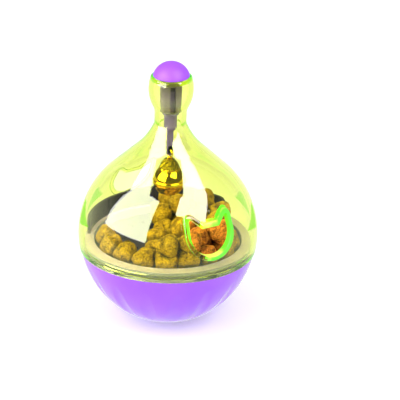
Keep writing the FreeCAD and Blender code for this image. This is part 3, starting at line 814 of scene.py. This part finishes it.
def outlet_rim(side, slot):
    """A raised rim: its rounded profile carried round the cat head, on the ball's curve."""
    profile = [(0, rim_root), (rim_width, rim_root)]
    profile += arc_points((rim_width - rim_outer_edge, rim_outer_edge - rim_proud),
                          rim_outer_edge, 0, -90, 4)
    profile += arc_points((rim_inner_edge, rim_inner_edge - rim_proud),
                          rim_inner_edge, -90, -180, 4)
    paths = {grow: outlet_points(grow) for grow in {spot[0] for spot in profile}}
    made = bmesh.new()
    loops = []
    for grow, inset in profile:
        loops.append([made.verts.new((p.x, side * math.sqrt(
            dome_radius_at(p.y, inset) ** 2 - p.x ** 2), p.y)) for p in paths[grow]])
    faces = skin(made, loops, closed=True)
    # The cut faces, and the faces from just left of the middle rightwards, take the second slot,
    # the rim's painted glow.
    cut_face_from = len(faces) - len(loops[0])
    for index, face in enumerate(faces):
        lit = index >= cut_face_from or face.calc_center_median().x > painted_glow_from
        face.material_index = slot if lit else 0
    mesh = finished_mesh(made, "outlet_rim")
    two_slots(mesh)
    return mesh


inner_low = dome_radius_at(dome_lip, dome_wall)
outline = dome_outline(0, dome_lip, dome_top - dome_edge_rounding)
edge = outline[-1][0] - dome_edge_rounding
outline += arc_between((edge, dome_top - dome_edge_rounding), outline[-1], (edge, dome_top), 5)[1:]
outline += [(cap_hole_radius, dome_top), (cap_hole_radius, dome_top - dome_wall)]
outline += dome_outline(dome_wall, bead_top, dome_top - dome_wall)[::-1]
outline += [(bead_inner, bead_top - bead_slope), (bead_inner, bead_bottom),
            (inner_low + lip_step, bead_bottom - lip_slope), (inner_low, dome_lip)]
dome_mesh = turned_mesh("dome_shell", outline, dome_sides)
two_slots(dome_mesh)
# Only the front outlet, on the camera's side, takes the painted glow in its second slot.
for side, slot in ((-1, 1), (1, 0)):
    hole = prism("outlet_hole", outlet_points(rim_width - rim_overlap),
                 side * hole_from, side * hole_to)
    dome_mesh = combined(dome_mesh, hole, "DIFFERENCE")
    dome_mesh = combined(dome_mesh, outlet_rim(side, slot), "UNION")

# Clear all over; low on the ball, where the eye looks along the wall, a painted green glow
# stands in for light gathered by the dye.
band_low = 0.049
band_height = 0.011
caught_above = 0.07
near_cap_above = 0.118
clear, tree, gloss = new_material("clear_plastic")
feed(gloss, {"Base Color": (1, 1, 1), "Roughness": 0, "IOR": 1.52, "Transmission Weight": 1})
sums = sums_in(tree)
height = add(tree, "ShaderNodeSeparateXYZ", {0: object_place(tree)}).outputs["Z"]
slant = add(tree, "ShaderNodeLayerWeight", {"Blend": 0.5}).outputs["Facing"]
above = sums("DIVIDE", sums("SUBTRACT", height, band_low), band_height)
needed = sums("ADD", sums("MULTIPLY", above, 0.3), 0.43)
painted_glow_share = sums("MULTIPLY", sums("SUBTRACT", slant, needed), 20.0)
painted_glow_share = sums("MINIMUM", sums("MAXIMUM", painted_glow_share, 0.0), 0.8)
for inside in (sums("GREATER_THAN", above, sums("SUBTRACT", 0.85, slant)),
               sums("LESS_THAN", above, 1.0), sums("LESS_THAN", slant, 0.82)):
    painted_glow_share = sums("MULTIPLY", painted_glow_share, inside)
painted_edge_glow = add(tree, "ShaderNodeEmission", {"Color": (0.30, 0.86, 0.05)})
shown = mix_shaders(tree, painted_glow_share, gloss, painted_edge_glow)

# In the upper dome, rays that have turned many times end in a painted pale glow, standing
# in for light caught between the wall's two faces.
rays = add(tree, "ShaderNodeLightPath")
near_cap = sums("GREATER_THAN", height, near_cap_above)
most_turns = sums("SUBTRACT", 8.5, sums("MULTIPLY", near_cap, 5.0))
caught = sums("MULTIPLY", sums("GREATER_THAN", rays.outputs["Ray Depth"], most_turns),
              sums("GREATER_THAN", height, caught_above))
painted_pale_glow = add(tree, "ShaderNodeEmission", {"Color": (0.78, 0.86, 0.22)})
shown = mix_shaders(tree, caught, shown, painted_pale_glow)
lamps_pass = add(tree, "ShaderNodeBsdfTransparent")
shown = mix_shaders(tree, rays.outputs["Is Shadow Ray"], shown, lamps_pass)
dye = add(tree, "ShaderNodeVolumeAbsorption", {"Color": (0.93, 0.997, 0.02), "Density": 275})
# The dye's volume is given a painted green glow as well.
glow = add(tree, "ShaderNodeEmission", {"Color": (0.25, 1.0, 0.02), "Strength": 1.8})
feed(tree.nodes["Material Output"],
     {"Surface": shown, "Volume": add(tree, "ShaderNodeAddShader", {0: dye, 1: glow})})

# The front outlet's rim faces the light, and is painted to glow bright green with an
# emission. Painted light makes it yellower where it looks up, and it is yellower at the chin.
rim_painted_glow, tree, edge_lit = new_material("rim_painted_glow_green")
sums = sums_in(tree)
place = add(tree, "ShaderNodeTexCoord")
upward = add(tree, "ShaderNodeSeparateXYZ", {0: place.outputs["Normal"]}).outputs["Z"]
sideways = add(tree, "ShaderNodeSeparateXYZ", {0: place.outputs["Object"]}).outputs["X"]
sideways = sums("ABSOLUTE", sums("ADD", sideways, 0.002))
chin_share = sums("MAXIMUM", sums("SUBTRACT", 0.5, sums("MULTIPLY", sideways, 60.0)), 0.0)
# Painted light: the rim is yellower where its normal looks up, mixed with a random mottle.
lit_from_above_and_mottle = sums("ADD", sums("MULTIPLY", upward, 0.45),
                sums("MULTIPLY", noise(tree, place.outputs["Object"], 260, 2), 0.6))
green = ramp(tree, sums("ADD", lit_from_above_and_mottle, chin_share), (0.65, (0.13, 0.78, 0.03)),
             last=(1.0, (0.85, 0.93, 0.12)))
feed(edge_lit, {"Base Color": green, "Roughness": 0.12, "IOR": 1.5, "Emission Color": green,
                "Emission Strength": 0.25})
finish_piece("clear_dome", dome_mesh, [clear, rim_painted_glow], "dome", "dome",
             crease=15)

# Cap
# The moulded purple button on the bulb, with a satin skin. The pale slotted barrel
# below it snaps through the hole in the dome's top.
cap_height = 0.0069
cap_edge = 0.00882
cap_edge_rounding = 0.0004
cap_gap = 0.00006
cap_recess = 0.0004
cap_lip = 0.0009
barrel_radius = 0.0052
barrel_chamfer = 0.0013
barrel_bore = 0.0033
barrel_neck = 0.00445
barrel_head = dome_top + 0.001
barrel_top = 0.1204
barrel_bottom = 0.1056
barrel_slot = 0.0025
barrel_slot_angle = math.radians(-19.3)
barrel_slot_from = 0.001
barrel_slot_to = 0.008
bore_rounding = 0.0003
nose_rounding = 0.0006
button_sides = 128
barrel_sides = 96


def rounded_outline(corners, steps=5):
    """An outline whose (radius, height, rounding) corners are rounded."""
    places = [Vector(corner[:2]) for corner in corners]
    found = []
    for index, (radius, height, rounding) in enumerate(corners):
        if not rounding:
            found.append((radius, height))
            continue
        centre, start, end = corner_arc(places[index - 1], places[index],
                                        places[(index + 1) % len(places)], rounding)
        start = start - centre
        end = end - centre
        for step in range(steps + 1):
            swung = (start * (1 - step / steps) + end * step / steps).normalized() * rounding
            found.append(tuple(centre + swung))
    return found


# The same plastic as the bowl's, without its gloss.
satin = purple.copy()
satin.name = "satin_purple"
tree = satin.node_tree
satin_skin = tree.nodes["Principled BSDF"]
tree.links.remove(satin_skin.inputs["Roughness"].links[0])
feed(satin_skin, {"Coat Weight": 0, "Roughness": 0.5, "Specular IOR Level": 0.2})

crown = (cap_edge ** 2 + cap_height ** 2) / (2 * cap_height)
crown_centre = (0, dome_top + cap_height - crown)
lift = math.asin((dome_top + cap_edge_rounding - crown_centre[1]) / (crown - cap_edge_rounding))
corner = ((crown - cap_edge_rounding) * math.cos(lift), dome_top + cap_edge_rounding)
outline = [(0, dome_top + cap_recess), (corner[0] - cap_lip, dome_top + cap_recess),
           (corner[0] - cap_lip, dome_top + cap_gap), (corner[0] - cap_gap, dome_top + cap_gap)]
outline += arc_points(corner, cap_edge_rounding, -90, math.degrees(lift), 8)[1:]
outline += arc_points(crown_centre, crown, math.degrees(lift), 90, 40)[1:]
button_mesh = turned_mesh("cap_button", outline, button_sides, closed=False)
finish_piece("cap_button", button_mesh, [satin], "dome", "top_cap", crease=30)

pale = inner_plastic("pale_violet_plastic", (0.135, 0.10, 0.33), (0.17, 0.13, 0.42), 0.22)
shoulder = barrel_radius - cap_hole_radius + barrel_chamfer
outline = rounded_outline([
    (barrel_bore, barrel_top - shoulder, 0), (barrel_bore, barrel_bottom, bore_rounding),
    (barrel_radius - barrel_chamfer, barrel_bottom, nose_rounding),
    (barrel_radius, barrel_bottom + barrel_chamfer, nose_rounding),
    (barrel_radius, barrel_top, barrel_chamfer), (barrel_neck, barrel_top, 0),
    (barrel_neck, barrel_head, 0), (0, barrel_head, 0), (0, barrel_top - shoulder, 0)])
barrel_mesh = turned_mesh("barrel", outline, barrel_sides)
across = barrel_slot / 2
slot_low = barrel_bottom + barrel_chamfer
slot_high = barrel_top - barrel_chamfer
for side in (1, -1):
    slot = prism("slot", [(-across, slot_low), (across, slot_low),
                          (across, slot_high), (-across, slot_high)],
                 side * barrel_slot_from, side * barrel_slot_to)
    slot.transform(Matrix.Rotation(barrel_slot_angle, 4, "Z"))
    barrel_mesh = combined(barrel_mesh, slot, "DIFFERENCE")
finish_piece("cap_barrel", barrel_mesh, [pale], "dome", "top_cap")

# Hanger stem
# The moulded violet stem plugs into the barrel up to a small collar. The jump ring
# hangs in the eye near the rounded end of its flat blade.
collar_radius = 0.0039
collar_top = 0.1055
collar_height = 0.0007
collar_bottom = collar_top - collar_height
shank_radius = 0.0031
shank_bottom = 0.0957
spigot_radius = shank_radius + 0.0001
spigot_top = barrel_top - 0.0037
blade_half = 0.0016
blade_thickness = 0.0009
blade_bottom = 0.0820
blade_top = shank_bottom + 0.0006
blade_rounding = 0.00012
blade_crease = math.radians(40)
root_fillet = 0.0004
shank_rounding = 0.0006
collar_rounding = 0.0002
spigot_rounding = 0.0003
stem_sides = 96
eye_height = 0.08605
eye_hole = 0.0011
eye_cut = 0.002
violet = inner_plastic("stem_violet_plastic", (0.115, 0.078, 0.42), (0.15, 0.10, 0.54), 0.22)
outline = rounded_outline([
    (0, shank_bottom, 0), (shank_radius - blade_half / 2, shank_bottom, root_fillet),
    (shank_radius, shank_bottom + blade_half, shank_rounding),
    (shank_radius, collar_bottom, collar_rounding),
    (collar_radius, collar_bottom, collar_rounding), (collar_radius, collar_top, collar_rounding),
    (spigot_radius, collar_top, 0), (spigot_radius, spigot_top - collar_height, spigot_rounding),
    (spigot_radius - collar_height, spigot_top, spigot_rounding), (0, spigot_top, 0)])
stem_mesh = turned_mesh("stem", outline, stem_sides, closed=False)
outline = [(blade_half, blade_top), (-blade_half, blade_top)]
outline += arc_points((0, blade_bottom + blade_half), blade_half, 180, 360, 40)
blade_mesh = prism("blade", outline, -blade_thickness / 2, blade_thickness / 2)
hole = prism("eye_hole", arc_points((0, eye_height), eye_hole, 0, 350, 35), -eye_cut, eye_cut)
blade_mesh = combined(blade_mesh, hole, "DIFFERENCE")
blade_mesh = modified_mesh(bpy.data.objects.new("blade", blade_mesh), "BEVEL",
                           width=blade_rounding, segments=3, limit_method="ANGLE",
                           angle_limit=blade_crease)
joined = bmesh.new()
joined.from_mesh(stem_mesh)
joined.from_mesh(blade_mesh)
joined.to_mesh(stem_mesh)
joined.free()
finish_piece("stem", stem_mesh, [violet], "dome", "hanger_stem", crease=30)

# Jump ring and bell loop
# Two bent pieces of gold-plated wire: a ring in the stem's eye, and a staple brazed
# on the bell that hangs in the ring.
jump_radius = 0.00233
jump_wire = 0.00035
jump_height = 0.08312
loop_radius = 0.0010
loop_wire = 0.0003
loop_centre = 0.08059
bell_top = 0.08029
loop_foot = bell_top - 0.0002
gold = metal("gold_plate", (0.88, 0.60, 0.02), 0.07, 700, 0.08)


def bent_wire(name, path, radius, closed, sides=20):
    """A wire along points that lie in one plane: a closed ring, or cut flat at its ends."""
    made = bmesh.new()
    count = len(path)
    normal = (path[1] - path[0]).cross(path[2] - path[0]).normalized()
    loops = []
    for index, spot in enumerate(path):
        before = path[index - 1] if closed or index else spot
        after = path[(index + 1) % count] if closed or index + 1 < count else spot
        side = (after - before).normalized().cross(normal)
        loops.append([made.verts.new(spot + (side * math.cos(turn) + normal * math.sin(turn))
                                     * radius) for turn in full_turn(sides)])
    if not closed:
        made.faces.new(loops[0])
        made.faces.new(loops[-1])
    skin(made, loops, closed)
    return finished_mesh(made, name)


path = [Vector((0, y, z)) for y, z in arc_points((0, jump_height), jump_radius, 0, 355, 71)]
ring_mesh = bent_wire("ring_wire", path, jump_wire, closed=True)
finish_piece("ring_wire", ring_mesh, [gold], "jump_ring", "jump_ring")
path = [(loop_radius, loop_foot), *arc_points((0, loop_centre), loop_radius, 0, 180, 30),
        (-loop_radius, loop_foot)]
loop_mesh = bent_wire("loop_wire", [Vector((x, 0, z)) for x, z in path], loop_wire, closed=False)
finish_piece("loop_wire", loop_mesh, [gold], "bell", "bell_loop")

# Bell
# A gold-plated jingle bell: two thin pressed cups, the upper drawn up to the loop and
# the lower crossed by a slot. Its edge is rolled over the upper one in a bright seam.
bell_centre = 0.06949
bell_radius = 0.0077
bell_sheet = 0.0005
inner_radius = bell_radius - bell_sheet
bell_neck = 0.0021
seam_reach = 0.00815
seam_half = 0.0010
seam_low = bell_centre - seam_half
seam_high = bell_centre + seam_half
crown_start = 50
crown_radius = 0.0075
ball_steps = 16
bead_radius = 0.00018
petals = 10
petal_pitch = 0.0016
petal_depth = 0.00045
bell_slot_half = 0.00065
bell_slot_turn = math.radians(48)
bell_slot_end = 0.00104
seam_rounding = 0.0006
seam_foot = 0.0002
seam_top_foot = 0.0001
upper_sides = 240
lower_sides = 160


def cup_side(inset):
    """The upper cup's side: round the ball to the bead, then the crown up to the neck."""
    centre = Vector((0, bell_centre))
    turn = math.radians(crown_start)
    low = centre + Vector((math.cos(turn), math.sin(turn))) * bell_radius
    high = Vector((bell_neck, bell_top))
    chord = high - low
    sideways = Vector((chord.y, -chord.x)).normalized()
    middle = (low + high) / 2 - sideways * math.sqrt(crown_radius ** 2 - chord.length_squared / 4)
    ends = [math.degrees(math.atan2(end.y - middle.y, end.x - middle.x)) for end in (low, high)]
    found = arc_points(centre, bell_radius - inset, 0, crown_start, ball_steps)
    return found + arc_points(middle, crown_radius - inset, ends[0], ends[1], 24)


old_gold = metal("chased_gold", (0.28, 0.195, 0.004), 0.1, 1600, 1.0)
outer = cup_side(0)
inner = [p for p in cup_side(bell_sheet) if p[1] < bell_top - bell_sheet]
bead_at = outer[ball_steps]
outline = outer[:ball_steps]
outline += arc_points(bead_at, bead_radius, crown_start - 90, crown_start + 90, 8)
outline += outer[ball_steps + 2:] + [(0, bell_top), (0, bell_top - bell_sheet)]
upper_mesh = turned_mesh("bell_top_cup", outline + inner[::-1], upper_sides)
two_slots(upper_mesh)

# The crown is chased in rows of petals, darker than the plain ball below it.
chased_from = bead_at[1] + 2 * bead_radius
for vert in upper_mesh.vertices:
    reach = math.hypot(vert.co.x, vert.co.y)
    if vert.co.z > chased_from and reach > bell_neck:
        around = math.atan2(vert.co.y, vert.co.x)
        row = 2 * math.pi * (vert.co.z - chased_from) / petal_pitch
        dent = petal_depth * (math.sin(petals * around + row / 2) * math.sin(row) - 0.5)
        vert.co.x *= 1 + dent / reach
        vert.co.y *= 1 + dent / reach
for face in upper_mesh.polygons:
    face.material_index = int(face.center.z > chased_from)
finish_piece("bell_top_cup", upper_mesh, [gold, old_gold], "bell", "bell_upper",
             crease=30)

seam_root = math.degrees(math.asin(seam_half / bell_radius))
outline = [(0, bell_centre - bell_radius)]
outline += arc_points((0, bell_centre), bell_radius, -90, -seam_root, 40)[1:]
outline += rounded_outline([
    (bell_radius, seam_low, seam_foot), (seam_reach, seam_low, seam_rounding),
    (seam_reach, seam_high, seam_rounding), (bell_radius, seam_high, seam_top_foot),
    (bell_radius, bell_centre, 0)])
outline += arc_points((0, bell_centre), inner_radius, 0, -90, 40)[:-1]
outline += [(0, bell_centre - inner_radius)]
cup_mesh = turned_mesh("bell_low_cup", outline, lower_sides)
slot_end_at = bell_radius * math.sin(bell_slot_turn)
mouth = 180 - math.degrees(math.asin(bell_slot_half / bell_slot_end))
outline = arc_points((slot_end_at, 0), bell_slot_end, -mouth, mouth, 24)
outline += arc_points((-slot_end_at, 0), bell_slot_end, 180 - mouth, 180 + mouth, 24)
for turn in (0, 90):
    slot = prism("slot", outline, bell_centre - 2 * bell_radius, bell_centre - 2 * seam_half)
    slot.transform(Matrix.Rotation(math.radians(90), 4, "X"))
    slot.transform(Matrix.Rotation(math.radians(turn), 4, "Z"))
    cup_mesh = combined(cup_mesh, slot, "DIFFERENCE")
finish_piece("bell_low_cup", cup_mesh, [gold], "bell", "bell_lower", crease=30)

# Bell pellet
# The loose steel ball that makes the bell ring, plated like the weight's screw. It
# was put in before the two cups were joined, and rolls in the lower one.
pellet_radius = 0.0019
pellet_sides = 64
pellet_low, pellet_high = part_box("bell_pellet")
pellet_centre = (0, (pellet_low.z + pellet_high.z) / 2)
outline = [(0, pellet_low.z), *arc_points(pellet_centre, pellet_radius, -90, 90, 32)[1:-1],
           (0, pellet_high.z)]
pellet_mesh = turned_mesh("pellet", outline, pellet_sides, closed=False)
finish_piece("pellet", pellet_mesh, [zinc_plate], "pellet", "bell_pellet")
